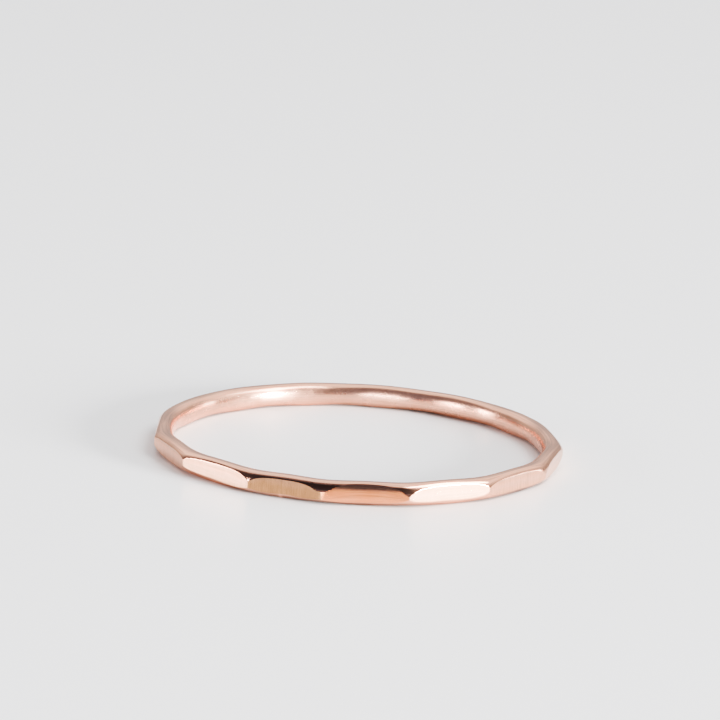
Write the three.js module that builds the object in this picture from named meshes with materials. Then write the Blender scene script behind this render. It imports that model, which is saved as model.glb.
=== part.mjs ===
// A hammered stackable ring of round rose gold wire, soldered into one closed loop.
//
// Millimetres. The ring lies on its side, as it does by itself on a table: +Z runs along the
// finger, the ring's lowest faces are at z = 0 and its axis is at x = y = 0. The outside was
// planished on a mandrel with one blow beside the next, so each blow left a nearly flat face with
// a blunt ridge to its neighbour, squeezed the wire out sideways and pressed it onto the mandrel.

import * as THREE from 'three';

const boreDiameter = 17.35; // a US size 7
const wireDiameter = 1.02; // 18 gauge

const ridgeDepth = 0.03; // the ridges are lower than the round wire was
const ridgeFlat = 0.34; // the flat's width where it passes over a ridge
const sideBulge = 0.035; // metal pushed out on each side under the middle of a blow
const waistSink = 0.03; // the widest place moves in towards the finger there
const springBack = 0.03; // the bore stands this far off the mandrel under the ridges
const sideLand = 0.14; // the narrow level face on each side, where stacked rings rub

const firstRidge = -55.4; // degrees from the nearest point, -Y, where the first blow starts
const leanFade = 0.22; // the share of half a blow over which its lean dies out at a ridge

// The blows, counter-clockwise seen from above. Each span is a share of the mean blow, each flat
// is a share of the wire's diameter, and each lean is in degrees, positive where the flat looks up.
const blows = [
  { span: 1.05, flat: 0.68, lean: 1.5 },
  { span: 0.89, flat: 0.66, lean: -1.0 },
  { span: 0.99, flat: 0.71, lean: -1.5 },
  { span: 1.03, flat: 0.69, lean: 2.0 },
  { span: 1.08, flat: 0.67, lean: 0.5 },
  { span: 0.97, flat: 0.7, lean: -2.0 },
  { span: 1.04, flat: 0.66, lean: 1.0 },
  { span: 0.93, flat: 0.69, lean: -0.5 },
  { span: 1.02, flat: 0.72, lean: 1.5 },
  { span: 1.06, flat: 0.67, lean: -1.5 },
  { span: 0.95, flat: 0.68, lean: 0.5 },
  { span: 1.0, flat: 0.7, lean: 2.0 },
  { span: 0.98, flat: 0.66, lean: -1.0 },
  { span: 1.07, flat: 0.71, lean: 1.0 },
  { span: 0.94, flat: 0.68, lean: -2.0 },
];

const stepsPerBlow = 9; // odd, so that the middle step of each blow is level
const outerArcSteps = 4;
const innerArcSteps = 5;

const boreRadius = boreDiameter / 2;
const wireRadius = wireDiameter / 2;
const ridgeRadius = boreRadius + springBack + wireDiameter - ridgeDepth;
const middleHeight = wireRadius + sideBulge;

// How much of a blow's depth is felt at t, from 0 at its two ridges, t = -1 and 1, to 1 in the
// middle.
function press(t) {
  return Math.cos((Math.PI / 2) * t) ** 2;
}

// Half the flat's width at t: a lens, widest in the middle of the blow.
function flatHalfWidth(blow, t) {
  const middle = (blow.flat * wireDiameter) / 2;
  const ridge = ridgeFlat / 2;
  return Math.sqrt(middle ** 2 - (middle ** 2 - ridge ** 2) * t ** 2);
}

// The part of an ellipse between two angles in quarter turns. Its points are (distance from the
// axis, height over the middle of the wire).
function arc(centre, reach, halfWidth, start, end, steps) {
  const quarter = Math.PI / 2;
  const curve = new THREE.EllipseCurve(
    centre, 0, reach, halfWidth, start * quarter, end * quarter,
  );
  return curve.getPoints(steps);
}

// The wire's section at t of a blow: the flat outside, a round shoulder, the side land and the
// round inside, for the upper half and then the lower half, counter-clockwise.
function section(blow, halfSpan, t) {
  const lean = THREE.MathUtils.degToRad(blow.lean) * Math.min(1, (1 - Math.abs(t)) / leanFade);
  const flatHalf = flatHalfWidth(blow, t);
  const sideHalf = wireRadius + sideBulge * press(t);
  const inside = boreRadius + springBack * (1 - press(t));
  const waist = inside + wireRadius - waistSink * press(t);
  const landOuter = waist + sideLand / 2;
  const landInner = waist - sideLand / 2;

  // A flat face is a chord of the ring, so it is nearest to the axis in the middle of the blow.
  const planeDistance = ridgeRadius * Math.cos(halfSpan);
  const shoulder = (side) => {
    const edge = (planeDistance - side * flatHalf * Math.tan(lean)) / Math.cos(halfSpan * t);
    const reach = (edge - landOuter) / Math.sqrt(1 - (flatHalf / sideHalf) ** 2);
    const start = Math.asin(flatHalf / sideHalf) / (Math.PI / 2);
    return arc(landOuter, reach, side * sideHalf, start, 1, outerArcSteps);
  };
  const upperInside = arc(landInner, landInner - inside, sideHalf, 1, 2, innerArcSteps);
  const lowerInside = arc(landInner, landInner - inside, sideHalf, 2, 3, innerArcSteps);
  return [
    ...shoulder(1),
    ...upperInside,
    ...lowerInside.slice(1),
    ...shoulder(-1).reverse(),
  ];
}

// One closed skin through all the sections, which follow each other round the whole turn.
function bandGeometry() {
  const meanSpan = (2 * Math.PI) / blows.reduce((sum, blow) => sum + blow.span, 0);
  const positions = [];
  let pointsInSection = 0;
  let start = THREE.MathUtils.degToRad(firstRidge);
  for (const blow of blows) {
    const halfSpan = (blow.span * meanSpan) / 2;
    for (let step = 0; step < stepsPerBlow; step += 1) {
      const t = (2 * step) / stepsPerBlow - 1;
      const angle = start + halfSpan * (1 + t);
      const points = section(blow, halfSpan, t);
      for (const point of points) {
        positions.push(point.x * Math.sin(angle), -point.x * Math.cos(angle), middleHeight + point.y);
      }
      pointsInSection = points.length;
    }
    start += 2 * halfSpan;
  }

  const sections = blows.length * stepsPerBlow;
  const indices = [];
  for (let ring = 0; ring < sections; ring += 1) {
    const here = ring * pointsInSection;
    const next = ((ring + 1) % sections) * pointsInSection;
    for (let point = 0; point < pointsInSection; point += 1) {
      const after = (point + 1) % pointsInSection;
      indices.push(here + point, next + point, next + after);
      indices.push(here + point, next + after, here + after);
    }
  }

  const geometry = new THREE.BufferGeometry();
  geometry.setAttribute('position', new THREE.Float32BufferAttribute(positions, 3));
  geometry.setIndex(indices);
  geometry.computeVertexNormals();
  return geometry;
}

// Rose gold, polished by the face of the hammer.
const roseGold = new THREE.MeshStandardMaterial({
  name: 'rose_gold',
  color: 0xdd9a80,
  roughness: 0.16,
  metalness: 1,
});

const hammeredBand = new THREE.Mesh(bandGeometry(), roseGold);
hammeredBand.name = 'hammered_band';

const ring = new THREE.Group();
ring.add(hammeredBand);

export default ring;
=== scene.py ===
import math

import bpy
import numpy as np
from mathutils import Euler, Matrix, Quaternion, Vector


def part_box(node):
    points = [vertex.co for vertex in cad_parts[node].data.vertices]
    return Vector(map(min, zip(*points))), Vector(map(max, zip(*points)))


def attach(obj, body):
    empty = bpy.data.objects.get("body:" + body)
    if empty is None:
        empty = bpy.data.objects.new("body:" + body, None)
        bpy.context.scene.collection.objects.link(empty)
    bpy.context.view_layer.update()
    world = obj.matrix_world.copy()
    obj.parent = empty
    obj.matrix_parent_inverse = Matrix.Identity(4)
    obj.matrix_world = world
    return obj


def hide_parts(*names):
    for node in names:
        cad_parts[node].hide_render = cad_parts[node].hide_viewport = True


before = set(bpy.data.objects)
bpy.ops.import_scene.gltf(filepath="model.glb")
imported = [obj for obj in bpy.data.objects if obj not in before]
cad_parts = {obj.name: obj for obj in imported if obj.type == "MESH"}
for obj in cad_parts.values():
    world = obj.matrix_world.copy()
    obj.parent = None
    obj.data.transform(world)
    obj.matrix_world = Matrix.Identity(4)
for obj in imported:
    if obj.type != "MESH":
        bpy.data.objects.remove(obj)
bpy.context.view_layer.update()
band_low, band_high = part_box("hammered_band")
band_middle_height = (band_low[2] + band_high[2]) / 2


# The photograph looks at the ring from 15 degrees off its own plane, from close by with a long lens.
# The ring lies on its side here, so that is also the camera's height over the table, and the picture
# is the photograph's turned top to bottom. The camera aims a little over the ring.
VIEW_ELEVATION = math.radians(14.6)
VIEW_ROLL = math.radians(3.1)
VIEW_DISTANCE = 0.2395
LENS_MM = 254.0
SENSOR_MM = 36.0
PHOTO_WIDTH = 720
RING_CENTRE_PX = (361.7, 442.0)  # from the left and, once turned top to bottom, from the top
NEAREST_SEEN = 0.005
FARTHEST_SEEN = 20.0

pixel_angle = SENSOR_MM / LENS_MM / PHOTO_WIDTH
aim_right = -(RING_CENTRE_PX[0] - PHOTO_WIDTH / 2) * pixel_angle
aim_up = (RING_CENTRE_PX[1] - PHOTO_WIDTH / 2) * pixel_angle

camera_data = bpy.data.cameras.new("photo_camera")
camera_data.lens = LENS_MM
camera_data.sensor_width = SENSOR_MM
camera_data.clip_start = NEAREST_SEEN
camera_data.clip_end = FARTHEST_SEEN
camera = bpy.data.objects.new("photo_camera", camera_data)
camera.location = (
    0.0,
    -VIEW_DISTANCE * math.cos(VIEW_ELEVATION),
    band_middle_height + VIEW_DISTANCE * math.sin(VIEW_ELEVATION),
)
level_aim = Euler((math.pi / 2 - VIEW_ELEVATION + aim_up, 0.0, -aim_right)).to_quaternion()
camera.rotation_euler = (level_aim @ Quaternion((0.0, 0.0, 1.0), VIEW_ROLL)).to_euler()
bpy.context.scene.collection.objects.link(camera)
bpy.context.scene.camera = camera


# The band is one length of round rose gold wire, bent round a mandrel, soldered into a loop and
# dressed flush. The outside is planished with one blow beside the next: each leaves a bright flat,
# and between two flats a bit of the round wire stays as a blunt ridge. Lengths are in millimetres.
MM = 0.001
BORE_RADIUS = 17.35 / 2
WIRE_RADIUS = 1.02 / 2
RIDGE_DEPTH = 0.03  # the ridges are lower than the round wire was
SIDE_BULGE = 0.035  # metal pushed out on each side under the middle of a blow
WAIST_SINK = 0.03  # the widest place moves in towards the finger there
SPRING_BACK = 0.03  # the bore stands this far off the mandrel under the ridges
SIDE_LAND = 0.14  # the narrow level face on each side
FIRST_RIDGE = math.radians(-55.4)  # where the first blow starts, from the point nearest the camera

# The blows, counter-clockwise from above, from left to right past the camera. Span is a share of
# the mean blow. Flat is the width of the struck flat in its middle and ridge what is left of it at
# its first ridge, as shares of the wire; a ridge under zero leaves a saddle of unstruck wire there.
# Drop is how far below the middle the flat ends at that ridge and blunt how far the ridge is rubbed
# round, both in millimetres. Skew moves the widest place along the flat, as a share of half its
# length. Lean is in degrees, positive where the flat looks up. Crown is how far the flat's long
# edges fall away, in millimetres. Satin is how rough the flat is, cross how far its marks run across
# the wire instead of along it, warm how coppery it is, and the last column how strongly painted
# shade darkens the wire under it.
BLOW_COLUMNS = (
    "span", "flat", "ridge", "drop", "blunt", "skew", "lean", "crown", "satin", "cross", "warm",
    "painted_shade",
)
BLOWS = [
    dict(zip(BLOW_COLUMNS, row))
    for row in (
        (1.05, 0.68, 0.25, 0.00, 0.006, -0.15, 2.5, 0.004, 0.14, 0.4, 0.5, 0.0),
        (0.89, 0.66, 0.34, 0.05, 0.014, 0.00, 3.0, 0.003, 0.18, 1.0, 0.0, 0.8),
        (0.99, 0.69, 0.20, 0.09, 0.034, 0.00, 4.0, 0.026, 0.22, 0.0, 1.0, 0.8),
        (1.03, 0.69, -0.20, 0.05, 0.006, 0.00, 3.5, 0.002, 0.10, 0.3, 0.5, 0.3),
        (1.08, 0.67, 0.14, 0.00, 0.006, 0.00, 0.5, 0.003, 0.16, 0.8, 0.5, 1.0),
        (0.97, 0.70, -0.20, 0.03, 0.008, -0.10, -2.0, 0.006, 0.12, 0.0, 0.4, 0.6),
        (1.04, 0.66, 0.25, -0.04, 0.005, 0.10, 1.0, 0.002, 0.20, 1.0, 0.6, 0.7),
        (0.93, 0.69, 0.32, 0.02, 0.010, 0.00, -0.5, 0.012, 0.26, 0.2, 0.3, 0.2),
        (1.02, 0.72, -0.30, -0.03, 0.006, -0.08, 1.5, 0.003, 0.12, 0.7, 0.7, 0.5),
        (1.06, 0.67, 0.22, 0.05, 0.005, 0.14, -1.5, 0.005, 0.17, 0.0, 0.5, 0.8),
        (0.95, 0.68, 0.34, 0.00, 0.012, -0.12, 0.5, 0.002, 0.10, 1.0, 0.2, 0.3),
        (1.00, 0.70, 0.10, -0.06, 0.006, 0.08, 2.0, 0.009, 0.22, 0.3, 0.8, 0.6),
        (0.98, 0.66, 0.28, 0.03, 0.004, -0.05, -1.0, 0.003, 0.14, 0.6, 0.4, 0.5),
        (1.07, 0.71, -0.34, 0.02, 0.009, 0.10, 1.0, 0.014, 0.28, 0.0, 0.9, 0.7),
        (0.94, 0.68, 0.30, -0.03, 0.005, -0.10, -2.0, 0.006, 0.12, 0.9, 0.5, 0.2),
    )
]

# How the flats and the round wire meet.
FLAT_REACH = 3  # how many of its half spans away from its middle a flat still counts
CROWN_POWER = 3  # the higher, the later a flat falls away towards its long edges
LENS_POWER = 1.5  # the higher, the later a flat widens away from its ridges
SIDE_CHANGE = 3  # the higher, the sharper the wire below a flat changes to the wire above it
NARROWEST_CUT = 0.01  # the square of the least share of the wire that the points keep for a flat
EDGE_SOFTNESS = 0.0005  # how far a flat's edge is rubbed round
BORE_SQUARENESS = 0.8  # under 1 the mandrel has pressed the bore flatter than a circle

# Where the points of the mesh lie.
STEPS_PER_BLOW = 64
FLAT_STEPS = 18
SHOULDER_STEPS = 13
BORE_STEPS = 22
CROWDING = 2.2  # over 1 the points round the wire crowd towards a flat's edges
EVEN_SHARE = 0.3  # at 1 the steps along a blow are even, and under 1 they crowd towards its ridges

# The faint unevenness of hammered wire, as ripples that run round the ring.
RIPPLE_SEED = 7
RIPPLES = 24
RIPPLES_ROUND = (9, 70)  # waves round the ring: at least the first, under the second
RIPPLE_SLANT = (0.5, 5.0)  # how much of a wave passes on the way up a wire radius, in radians
RIPPLE_DEPTH = 0.0012

# The colour and finish of the wire, with painted shade on its lower side and painted dark
# reflections over the middle flats and their falling upper edges. Rise is the sine of the turn up
# round the wire, from 0 in the middle of its outside to 1 at its top. Each pair says where a change
# starts and ends.
WIRE_WARMTH = 0.5
UPPER_WARMTH = 0.22  # a flat is this much more coppery at the wire's top than at its middle
WORN_AND_SHADED_EDGE = (0.5, 0.8)  # shares of half a flat, going up, over which its copper colour wears off and painted dark reflection sets in
EDGE_PAINTED_SHADE = 30.0  # painted dark reflection on that edge, for each millimetre that it falls away
LOWER_RISE = (0.5, 0.8)  # how far under the middle the painted shade of the lower shoulder begins
BORE_SHADE_POWER = 2  # the higher, the closer the painted shade of the bore stays to its lower edge
BORE_SATIN_POWER = 0.5  # the lower, the closer the satin of the bore comes to its edges
REFLECTION_BAND_RISE = (0.2, 0.3)  # where the painted dark reflection over the flats begins
LAND_RISE = (0.74, 0.80)  # where it ends again
DARK_REFLECTION_MIDDLE = math.radians(-9)  # the painted dark reflection reaches to both sides of this angle
DARK_REFLECTION_REACH = math.radians(28)
DARK_REFLECTION_FADE = 6  # the higher, the shorter the ends of the painted dark reflection
SHADE_GAP_ANGLE = math.radians(-20.8)  # around this angle, under the second flat, the painted shade below is left off
SHADE_GAP_WIDTH = 0.07


def rubbed_edge(surfaces, softness):
    """The lowest of several surfaces, with the edge where two of them cross rubbed round."""
    lowest = np.min(surfaces, axis=0)
    return lowest - softness * np.log(
        np.sum(np.exp(-(surfaces - lowest) / softness), axis=0)
    )


def saddle_square(half_width):
    """The square of a flat's half width at a ridge, under zero where a saddle stays unstruck."""
    return half_width * abs(half_width)


def finish_change(values, start, end):
    """How far the finish has changed: not at all up to the value start, fully from the value end."""
    return np.clip((values - start) / (end - start), 0.0, 1.0)


def blow_places():
    """The middle and half the span of each blow, as angles round the ring."""
    spans = np.array([blow["span"] for blow in BLOWS])
    spans = spans * 2 * math.pi / spans.sum()
    starts = FIRST_RIDGE + np.concatenate(([0.0], np.cumsum(spans)[:-1]))
    return starts + spans / 2, spans / 2


blow_middles, blow_half_spans = blow_places()


def blow_angle(number, t):
    """The angle round the ring at t of a blow, which is 0 in its middle and -1 and 1 at its two
    ridges."""
    return blow_middles[number] + blow_half_spans[number] * t


def struck_radius(angle, heights, blunt):
    """How far from the axis the hammered flats lie at one angle, for each height on the wire, with
    the ridge between them rubbed round by blunt."""
    ridge_radius = BORE_RADIUS + SPRING_BACK + 2 * WIRE_RADIUS - RIDGE_DEPTH
    flats = []
    for blow, middle, half_span in zip(BLOWS, blow_middles, blow_half_spans):
        turn = (angle - middle + math.pi) % (2 * math.pi) - math.pi
        if abs(turn) > FLAT_REACH * half_span:
            continue
        half_width = blow["flat"] * WIRE_RADIUS
        flat = ridge_radius * math.cos(half_span)
        flat = flat - heights * math.tan(math.radians(blow["lean"]))
        flat = flat - blow["crown"] * abs(heights / half_width) ** CROWN_POWER
        flats.append(flat / math.cos(turn))
    return rubbed_edge(np.array(flats), blunt)


def middle_radius(angle, blunt):
    """The same at the middle height of the wire."""
    return struck_radius(angle, np.zeros(1), blunt)[0]


def press(t):
    """How much of a blow's depth is felt at t, from 0 at its ridges to 1 in its middle."""
    return np.cos(math.pi / 2 * t) ** 2


def wire_round(t):
    """Half the wire's width up and down at t of a blow, where its outer half begins and where its
    inner half ends, as distances from the axis, and where the bore is."""
    half_side = WIRE_RADIUS + SIDE_BULGE * press(t)
    inside = BORE_RADIUS + SPRING_BACK * (1 - press(t))
    waist = inside + WIRE_RADIUS - WAIST_SINK * press(t)
    return half_side, waist + SIDE_LAND / 2, waist - SIDE_LAND / 2, inside


def reach_over(radius, square, t):
    """How far the round wire stands out past its side land at t, so that a face at this radius cuts
    it in a flat whose half width has this square."""
    half_side, land_outer, _, _ = wire_round(t)
    return (radius - land_outer) / math.sqrt(1 - square / half_side**2)


def nearest_ridge(number, t):
    """The row that holds the nearest ridge: a blow's own one before its middle, or the next one."""
    return BLOWS[number] if t < 0 else BLOWS[(number + 1) % len(BLOWS)]


def shoulder_reaches(number, t):
    """How far the round wire stands out above and below the flat at t of a blow. Both go over from
    what the outline needs at the ridge to what it needs in the middle of the blow."""
    blow = BLOWS[number]
    ridge = nearest_ridge(number, t)
    ridge_angle = blow_middles[number] + math.copysign(blow_half_spans[number], t)
    at_middle = middle_radius(blow_middles[number], ridge["blunt"])
    at_ridge = middle_radius(ridge_angle, ridge["blunt"])
    square = saddle_square(ridge["ridge"] * WIRE_RADIUS)
    off_centre = 2 * ridge["drop"] * WIRE_RADIUS
    middle_reach = reach_over(at_middle, (blow["flat"] * WIRE_RADIUS) ** 2, 0)
    upper_ridge = reach_over(at_ridge, square - off_centre, 1)
    lower_ridge = reach_over(at_ridge, square + off_centre, 1)
    skewed = t - blow["skew"] * (1 - t**2)
    depth = (1 - skewed**2) ** LENS_POWER
    upper_reach = upper_ridge + (middle_reach - upper_ridge) * depth
    lower_reach = lower_ridge + (middle_reach - lower_ridge) * depth
    return upper_reach, lower_reach


def outer_turns(flat_reach, upper_reach, lower_reach):
    """Where the points lie round the outer half of the wire, from its lower to its upper side, for
    a flat that stands out this far past the side land."""
    upper_cut = 1 - (flat_reach / upper_reach) ** 2
    lower_cut = 1 - (flat_reach / lower_reach) ** 2
    upper_edge = math.asin(math.sqrt(max(upper_cut, NARROWEST_CUT)))
    lower_edge = math.asin(math.sqrt(max(lower_cut, NARROWEST_CUT)))
    even = np.linspace(-1.0, 1.0, FLAT_STEPS + 1)
    crowded = np.sign(even) * (1 - (1 - abs(even)) ** CROWDING)
    flat_turns = (upper_edge - lower_edge) / 2 + (upper_edge + lower_edge) / 2 * crowded
    share = np.linspace(0.0, 1.0, SHOULDER_STEPS + 1)[1:] ** CROWDING
    upper_turns = upper_edge + (math.pi / 2 - upper_edge) * share
    lower_turns = lower_edge + (math.pi / 2 - lower_edge) * share
    return np.concatenate((-lower_turns[::-1], flat_turns, upper_turns))


def outer_half(number, t):
    """The hammered half of the wire's section at t of a blow: each point's distance from the axis
    and height, and its shares on the flat, in the bore, on the lower shoulder that gets painted
    shade and in the band over the flat that gets a painted dark reflection."""
    angle = blow_angle(number, t)
    blunt = nearest_ridge(number, t)["blunt"]
    half_side, land_outer, _, _ = wire_round(t)
    upper_reach, lower_reach = shoulder_reaches(number, t)
    turns = outer_turns(middle_radius(angle, blunt) - land_outer, upper_reach, lower_reach)
    rise = np.sin(turns)
    heights = half_side * rise
    half_flat = BLOWS[number]["flat"] * WIRE_RADIUS
    upper_part = 0.5 + 0.5 * np.tanh(SIDE_CHANGE * heights / half_flat)
    reach = lower_reach + (upper_reach - lower_reach) * upper_part
    round_wire = land_outer + reach * np.cos(turns)
    flats = struck_radius(angle, heights, blunt)
    struck = finish_change(round_wire - flats, -EDGE_SOFTNESS, EDGE_SOFTNESS)
    # the band over the flat that gets a painted dark reflection
    over_flat = finish_change(rise, *REFLECTION_BAND_RISE) * (1 - finish_change(rise, *LAND_RISE))
    return {
        "radii": rubbed_edge(np.array([flats, round_wire]), EDGE_SOFTNESS),
        "heights": heights,
        "struck": struck,
        "in_bore": np.zeros(len(turns)),
        # painted shade on the lower shoulder, under the flat
        "lower": (1 - struck) * finish_change(-rise, *LOWER_RISE),
        "painted_reflection_band": (1 - struck) * over_flat,
    }


def bore_half(t):
    """The same for the half towards the finger, which nothing struck."""
    half_side, _, land_inner, inside = wire_round(t)
    turns = np.linspace(math.pi / 2, 3 * math.pi / 2, BORE_STEPS + 1)
    rise = np.sin(turns)
    inward = abs(np.cos(turns))
    return {
        "radii": land_inner - (land_inner - inside) * inward**BORE_SQUARENESS,
        "heights": half_side * rise,
        "struck": np.zeros(len(turns)),
        "in_bore": inward**BORE_SATIN_POWER,
        # painted shade towards the bore's lower edge
        "lower": np.clip(-rise, 0.0, 1.0) ** BORE_SHADE_POWER,
        "painted_reflection_band": np.zeros(len(turns)),
    }


def section_finish(number, t, section):
    """What the finish of each point of a section follows. The lower side has painted shade, left off
    under the second flat, the band over the middle flats has a painted dark reflection, and so has a
    flat's upper edge where it falls away."""
    blow = BLOWS[number]
    neighbour = BLOWS[(number + (1 if t > 0 else -1)) % len(BLOWS)]
    # where the painted shade below is left off, and how far round the ring the painted dark
    # reflection over the flats reaches
    from_shade_gap = (blow_angle(number, t) - SHADE_GAP_ANGLE) * BORE_RADIUS
    from_dark_reflection = blow_angle(number, t) - DARK_REFLECTION_MIDDLE
    shade_gap = math.exp(-((from_shade_gap / SHADE_GAP_WIDTH) ** 2))
    painted_dark_reflection = math.exp(-((from_dark_reflection / DARK_REFLECTION_REACH) ** DARK_REFLECTION_FADE))
    # how strongly painted shade darkens the wire under this blow, going over to the next one
    shade_strength = blow["painted_shade"] + (neighbour["painted_shade"] - blow["painted_shade"]) * abs(t) / 2
    # the flat's upper edge, where its copper colour wears off and a painted dark reflection is laid
    # on
    worn_and_shaded = finish_change(section["heights"] / (blow["flat"] * WIRE_RADIUS), *WORN_AND_SHADED_EDGE)
    # painted shade on the lower side
    lower_painted_shade = section["lower"] * shade_strength * (1 - shade_gap)
    # painted dark reflection on the flat's upper edge, deeper the more it falls away
    edge_painted_shade = section["struck"] * worn_and_shaded * EDGE_PAINTED_SHADE * blow["crown"]
    warmth = blow["warm"] + UPPER_WARMTH * section["heights"] / WIRE_RADIUS
    return {
        "struck": section["struck"],
        "in_bore": section["in_bore"],
        # painted shade and painted dark reflections, all in one
        "painted_shade": lower_painted_shade + section["painted_reflection_band"] * painted_dark_reflection + edge_painted_shade,
        "satin": np.full(len(worn_and_shaded), blow["satin"]),
        "cross": np.full(len(worn_and_shaded), blow["cross"]),
        "warm": np.minimum(warmth, 1 - (1 - WIRE_WARMTH) * worn_and_shaded),
    }


def ripples():
    """How many waves each ripple has round the ring, its slant up the wire and where it starts."""
    draws = np.random.default_rng(RIPPLE_SEED)
    waves = draws.integers(*RIPPLES_ROUND, RIPPLES)
    slants = draws.uniform(*RIPPLE_SLANT, RIPPLES)
    starts = draws.uniform(0.0, 2 * math.pi, RIPPLES)
    return list(zip(waves, slants, starts))


def hammered_wire():
    """Every section of the wire as points in metres, and what the finish of each point follows."""
    even = np.linspace(-1.0, 1.0, STEPS_PER_BLOW, endpoint=False)
    along = EVEN_SHARE * even + (1 - EVEN_SHARE) * np.sin(math.pi / 2 * even)
    wire_ripples = ripples()
    sections = []
    finishes = []
    for number in range(len(BLOWS)):
        for t in along:
            outer = outer_half(number, t)
            bore = bore_half(t)
            section = {name: np.concatenate((outer[name], bore[name])) for name in outer}
            angle = blow_angle(number, t)
            heights = section["heights"]
            ripple = np.zeros(len(heights))
            for waves, slant, start in wire_ripples:
                ripple += np.sin(waves * angle + slant * heights / WIRE_RADIUS + start)
            radii = section["radii"] + RIPPLE_DEPTH * ripple / math.sqrt(RIPPLES)
            x = radii * math.sin(angle)
            y = -radii * math.cos(angle)
            z = heights + band_middle_height / MM
            sections.append(np.stack((x, y, z), axis=1))
            finishes.append(section_finish(number, t, section))
    finish = {name: np.ravel([shares[name] for shares in finishes]) for name in finishes[0]}
    return np.array(sections) * MM, finish


def wire_skin(name, sections):
    """A closed mesh through sections that follow each other round the ring. Its UV map holds the
    distance along the wire and round it, in millimetres."""
    rings, points = sections.shape[:2]
    ring_here = np.arange(rings)[:, None] + np.zeros(points, dtype=int)[None, :]
    point_here = np.arange(points)[None, :] + np.zeros(rings, dtype=int)[:, None]
    steps = ((0, 0), (1, 0), (1, 1), (0, 1))
    corners = [(ring_here + ring_step, point_here + point_step) for ring_step, point_step in steps]
    faces = np.stack([ring % rings * points + point % points for ring, point in corners], axis=-1)

    along_wire = np.linalg.norm(np.roll(sections, -1, axis=0) - sections, axis=2).mean(axis=1)
    round_wire = np.linalg.norm(np.roll(sections, -1, axis=1) - sections, axis=2).mean(axis=0)
    along = np.concatenate(([0.0], np.cumsum(along_wire))) / MM
    across = np.concatenate(([0.0], np.cumsum(round_wire))) / MM
    places = np.stack(
        [np.stack((along[ring], across[point]), axis=-1) for ring, point in corners], axis=2
    )

    mesh = bpy.data.meshes.new(name)
    mesh.from_pydata(sections.reshape(-1, 3).tolist(), [], faces.reshape(-1, 4).tolist())
    mesh.polygons.foreach_set("use_smooth", np.ones(rings * points, dtype=bool))
    mesh.uv_layers.new(name="wire_place").data.foreach_set("uv", places.ravel())
    mesh.update()
    skin = bpy.data.objects.new(name, mesh)
    bpy.context.scene.collection.objects.link(skin)
    return skin


# The finish. Polish and satin are roughnesses. The colour goes from brownish, at a warmth of 0,
# over rose, which the plain wire has, to coppery, at a warmth of 1.
WIRE_POLISH = 0.12
BORE_SATIN = 0.27
POLISH_WAVER = 0.3  # how far the roughness changes from place to place, as a share of it
BRUSHING = 0.6
BRUSHING_TURN = 0.25  # as a share of a full turn
BROWN_ROSE = (0.575, 0.31, 0.15, 1.0)
ROSE = (0.91, 0.50, 0.35, 1.0)
COPPER_ROSE = (0.99, 0.37, 0.155, 1.0)
TINT_WAVER = 0.12  # how far the warmth changes from place to place
LINE_CONTRAST = 0.4  # how much the lines lighten and darken the colour
FULLY_SHADED_SHARE = 0.25  # what full painted shade leaves of the colour

# Marks to a millimetre round the ring, marks to a millimetre across the wire, and their detail.
DRAW_LINES = (0.35, 16.0, 3.0)
CROSS_LINES = (14.0, 1.2, 3.0)
CLOUDS = (1.3, 1.6, 2.0)
SPECKS = (17.0, 17.0, 0.0)
FINER_MARKS = 0.6  # how strong each finer layer of marks is beside the one before
LINE_DEPTH = 0.0028
PIT_RIM = 0.70  # a pit starts where the specks rise past this
PIT_FLOOR = 0.78
PIT_DEPTH = 0.3  # as a share of the lines' depth


def kept_on_wire(nodes, name):
    """A value that the wire's mesh holds for each point."""
    value = nodes.new("ShaderNodeAttribute")
    value.attribute_name = name
    return value.outputs["Fac"]


def finish_step(nodes, links, operation, first, second):
    """One sum or product in the finish, of sockets or numbers."""
    step = nodes.new("ShaderNodeMath")
    step.operation = operation
    for socket, value in zip(step.inputs, (first, second)):
        if isinstance(value, (int, float)):
            socket.default_value = value
        else:
            links.new(value, socket)
    return step.outputs["Value"]


def between_finishes(nodes, links, share, none, whole):
    """From the finish none at a share of 0 to the finish whole at a share of 1."""
    blend = nodes.new("ShaderNodeMapRange")
    links.new(share, blend.inputs["Value"])
    for name, value in (("To Min", none), ("To Max", whole)):
        if isinstance(value, (int, float)):
            blend.inputs[name].default_value = value
        else:
            links.new(value, blend.inputs[name])
    return blend.outputs["Result"]


def wire_marks(nodes, links, round_ring, across_wire, detail):
    """Noise with so many marks to a millimetre round the ring and across the wire."""
    ring_place = nodes.new("ShaderNodeTexCoord")
    ring_parts = nodes.new("ShaderNodeSeparateXYZ")
    links.new(ring_place.outputs["Object"], ring_parts.inputs[0])
    wire_place = nodes.new("ShaderNodeUVMap")
    wire_place.uv_map = "wire_place"
    wire_parts = nodes.new("ShaderNodeSeparateXYZ")
    links.new(wire_place.outputs["UV"], wire_parts.inputs[0])
    where = nodes.new("ShaderNodeCombineXYZ")
    x = finish_step(nodes, links, "MULTIPLY", ring_parts.outputs["X"], round_ring / MM)
    y = finish_step(nodes, links, "MULTIPLY", ring_parts.outputs["Y"], round_ring / MM)
    z = finish_step(nodes, links, "MULTIPLY", wire_parts.outputs["Y"], across_wire)
    for socket, value in zip(where.inputs, (x, y, z)):
        links.new(value, socket)
    noise = nodes.new("ShaderNodeTexNoise")
    noise.inputs["Scale"].default_value = 1.0
    noise.inputs["Detail"].default_value = detail
    noise.inputs["Roughness"].default_value = FINER_MARKS
    links.new(where.outputs["Vector"], noise.inputs["Vector"])
    return noise.outputs["Fac"]


def rose_tint(nodes, links, warmth):
    """The colour of clean metal, from brownish over rose to coppery."""
    tint = nodes.new("ShaderNodeValToRGB")
    tint.color_ramp.elements.new(WIRE_WARMTH)
    for element, colour in zip(tint.color_ramp.elements, (BROWN_ROSE, ROSE, COPPER_ROSE)):
        element.color = colour
    links.new(warmth, tint.inputs["Fac"])
    return tint.outputs["Color"]


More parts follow.
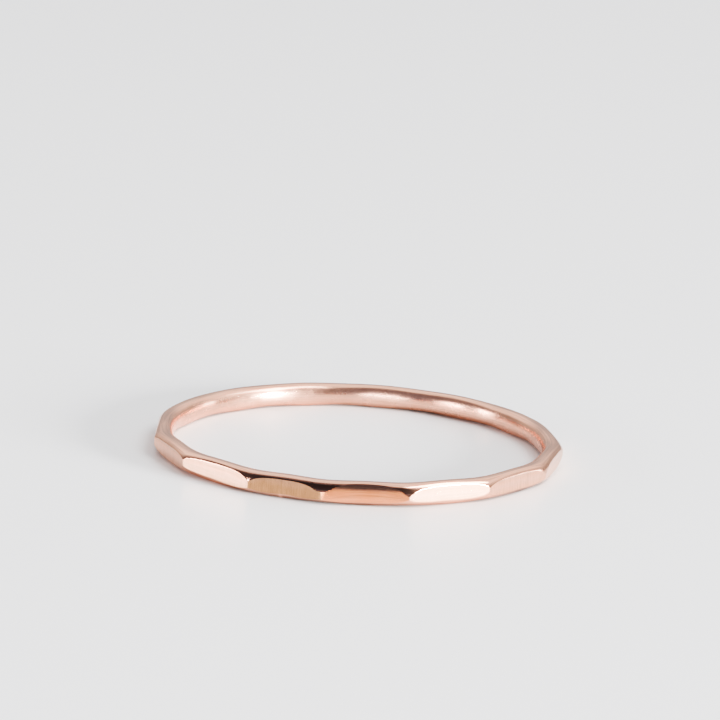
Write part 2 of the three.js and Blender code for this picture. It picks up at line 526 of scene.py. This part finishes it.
def rose_gold():
    """Rose gold. Each flat keeps the fine marks that its blow left across or along the wire, the
    sides keep faint lines from the drawing die, the bore is satin from the mandrel, and painted
    shade darkens the colour under the wire, over the middle flats and along the flats' falling upper
    edges."""
    material = bpy.data.materials.new("rose_gold")
    material.use_nodes = True
    nodes = material.node_tree.nodes
    links = material.node_tree.links
    shader = nodes["Principled BSDF"]
    shader.inputs["Metallic"].default_value = 1.0
    shader.inputs["Anisotropic"].default_value = BRUSHING
    shader.inputs["Anisotropic Rotation"].default_value = BRUSHING_TURN

    struck = kept_on_wire(nodes, "struck")
    draw_lines = wire_marks(nodes, links, *DRAW_LINES)
    cross_lines = wire_marks(nodes, links, *CROSS_LINES)
    clouds = wire_marks(nodes, links, *CLOUDS)
    specks = wire_marks(nodes, links, *SPECKS)
    crossing = finish_step(nodes, links, "MULTIPLY", struck, kept_on_wire(nodes, "cross"))
    lines = between_finishes(nodes, links, crossing, draw_lines, cross_lines)

    in_bore = kept_on_wire(nodes, "in_bore")
    wire_finish = between_finishes(nodes, links, in_bore, WIRE_POLISH, BORE_SATIN)
    polish = between_finishes(nodes, links, struck, wire_finish, kept_on_wire(nodes, "satin"))
    unevenness = between_finishes(nodes, links, clouds, 1 - POLISH_WAVER, 1 + POLISH_WAVER)
    roughness = finish_step(nodes, links, "MULTIPLY", polish, unevenness)
    links.new(roughness, shader.inputs["Roughness"])

    warmth = between_finishes(nodes, links, struck, WIRE_WARMTH, kept_on_wire(nodes, "warm"))
    waver = between_finishes(nodes, links, clouds, -TINT_WAVER, TINT_WAVER)
    tint = rose_tint(nodes, links, finish_step(nodes, links, "ADD", warmth, waver))
    # painted shade: darkens the colour where the wire holds it
    unshaded_share = between_finishes(nodes, links, kept_on_wire(nodes, "painted_shade"), 1.0, FULLY_SHADED_SHARE)
    line_shade = between_finishes(nodes, links, lines, 1 - LINE_CONTRAST, 1 + LINE_CONTRAST)
    shaded = nodes.new("ShaderNodeVectorMath")
    shaded.operation = "SCALE"
    links.new(tint, shaded.inputs[0])
    links.new(finish_step(nodes, links, "MULTIPLY", unshaded_share, line_shade), shaded.inputs["Scale"])
    links.new(shaded.outputs["Vector"], shader.inputs["Base Color"])

    pits = nodes.new("ShaderNodeMapRange")
    pits.inputs["From Min"].default_value = PIT_RIM
    pits.inputs["From Max"].default_value = PIT_FLOOR
    pits.inputs["To Max"].default_value = -PIT_DEPTH
    links.new(specks, pits.inputs["Value"])
    relief = nodes.new("ShaderNodeBump")
    relief.inputs["Distance"].default_value = LINE_DEPTH * MM
    pitted_lines = finish_step(nodes, links, "ADD", lines, pits.outputs["Result"])
    links.new(pitted_lines, relief.inputs["Height"])
    links.new(relief.outputs["Normal"], shader.inputs["Normal"])
    return material


sections, finish = hammered_wire()
band = wire_skin("rose_gold_band", sections)
for name, values in finish.items():
    band.data.attributes.new(name, "FLOAT", "POINT").data.foreach_set("value", values)
band.data.materials.append(rose_gold())
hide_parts("hammered_band")
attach(band, "root")


# The table is a plain pale board, painted with a faint sheen, and the ring lies loose on it. It is
# wide enough to reach past every view.
TABLE_RADIUS = 3.0
TABLE_SIDES = 96
TABLE_PAINT = (0.86, 0.86, 0.865, 1.0)
TABLE_SHEEN = 0.36


def pale_board():
    """Near-white paint with a soft sheen."""
    material = bpy.data.materials.new("pale_board")
    material.use_nodes = True
    shader = material.node_tree.nodes["Principled BSDF"]
    shader.inputs["Base Color"].default_value = TABLE_PAINT
    shader.inputs["Roughness"].default_value = TABLE_SHEEN
    return material


bpy.ops.mesh.primitive_circle_add(
    vertices=TABLE_SIDES, radius=TABLE_RADIUS, fill_type="NGON", location=(0, 0, 0)
)
table = bpy.context.active_object
table.name = "table"
table.data.materials.append(pale_board())


# Soft studio light: low panels at the left, at the centre left and at the right, and a large one
# high on the right. Azimuth 0 is towards the camera and 90 to the right, in degrees, sizes are in
# metres, and brightness is a panel's power for each square metre, divided by pi.
PANEL_COLUMNS = ("name", "azimuth", "elevation", "distance", "width", "height", "brightness")
PANELS = [
    dict(zip(PANEL_COLUMNS, row))
    for row in (
        ("panel_left", -86, 10, 0.6, 0.16, 0.13, 15.0),
        ("strip_left", -62, 9, 0.6, 0.05, 0.14, 24.0),
        ("panel_centre_left", -15, 4, 0.6, 0.22, 0.08, 16.0),
        ("panel_right", 57, 9, 0.6, 0.16, 0.12, 180.0),
        ("panel_far_right", 110, 8, 0.6, 0.16, 0.12, 5.5),
        ("panel_high_right", 78, 55, 0.8, 0.4, 0.4, 7.0),
    )
]

for panel in PANELS:
    turn = math.radians(panel["azimuth"])
    rise = math.radians(panel["elevation"])
    light = bpy.data.lights.new(panel["name"], "AREA")
    light.shape = "RECTANGLE"
    light.size = panel["width"]
    light.size_y = panel["height"]
    light.energy = panel["brightness"] * math.pi * panel["width"] * panel["height"]
    hung = bpy.data.objects.new(panel["name"], light)
    hung.location = (
        panel["distance"] * math.cos(rise) * math.sin(turn),
        -panel["distance"] * math.cos(rise) * math.cos(turn),
        panel["distance"] * math.sin(rise),
    )
    hung.rotation_euler = (math.pi / 2 - rise, 0.0, turn)
    bpy.context.scene.collection.objects.link(hung)


# The room is bright overhead and behind the ring, less so near the floor, and dim and bluish
# behind the camera. The middle of its dim side is a little to the left of the camera.
DIM_SIDE_AZIMUTH = math.radians(-35)
DIM_SIDE_EDGE = (-0.02, 0.30)  # cosines of the angle from that middle, where the light fades
DIM_SIDE_LIGHT = 0.25
LOW_WALL = math.radians(8)  # up to this elevation the room has its low light
HIGH_WALL = math.radians(40)  # and from this one its overhead light
LOW_LIGHT = 0.5
OVERHEAD_LIGHT = 1.25
BRIGHT_SIDE_WHITE = (1.0, 0.99, 0.98, 1.0)
DIM_SIDE_BLUE = (0.85, 0.95, 1.35, 1.0)


def bright_back_room():
    """The light of the room, by direction."""
    world = bpy.data.worlds.new("bright_back_room")
    world.use_nodes = True
    nodes = world.node_tree.nodes
    links = world.node_tree.links
    background = nodes["Background"]
    place = nodes.new("ShaderNodeTexCoord")
    dimness = nodes.new("ShaderNodeVectorMath")
    dimness.operation = "DOT_PRODUCT"
    dimness.inputs[1].default_value = (math.sin(DIM_SIDE_AZIMUTH), -math.cos(DIM_SIDE_AZIMUTH), 0.0)
    parts = nodes.new("ShaderNodeSeparateXYZ")
    overhead = nodes.new("ShaderNodeMapRange")
    overhead.interpolation_type = "SMOOTHSTEP"
    overhead.inputs["From Min"].default_value = math.sin(LOW_WALL)
    overhead.inputs["From Max"].default_value = math.sin(HIGH_WALL)
    overhead.inputs["To Min"].default_value = LOW_LIGHT
    overhead.inputs["To Max"].default_value = OVERHEAD_LIGHT
    fade = nodes.new("ShaderNodeMapRange")
    fade.interpolation_type = "SMOOTHSTEP"
    fade.inputs["From Min"].default_value = DIM_SIDE_EDGE[0]
    fade.inputs["From Max"].default_value = DIM_SIDE_EDGE[1]
    fade.inputs["To Max"].default_value = DIM_SIDE_LIGHT
    colour = nodes.new("ShaderNodeMix")
    colour.data_type = "RGBA"
    colour.inputs["A"].default_value = BRIGHT_SIDE_WHITE
    colour.inputs["B"].default_value = DIM_SIDE_BLUE
    links.new(place.outputs["Generated"], dimness.inputs[0])
    links.new(place.outputs["Generated"], parts.inputs[0])
    links.new(parts.outputs["Z"], overhead.inputs["Value"])
    links.new(dimness.outputs["Value"], fade.inputs["Value"])
    links.new(overhead.outputs["Result"], fade.inputs["To Min"])
    links.new(fade.outputs["Result"], background.inputs["Strength"])
    links.new(dimness.outputs["Value"], colour.inputs["Factor"])
    links.new(colour.outputs["Result"], background.inputs["Color"])
    return world


bpy.context.scene.world = bright_back_room()
bpy.context.scene.view_settings.view_transform = "AgX"
bpy.context.scene.view_settings.look = "AgX - High Contrast"
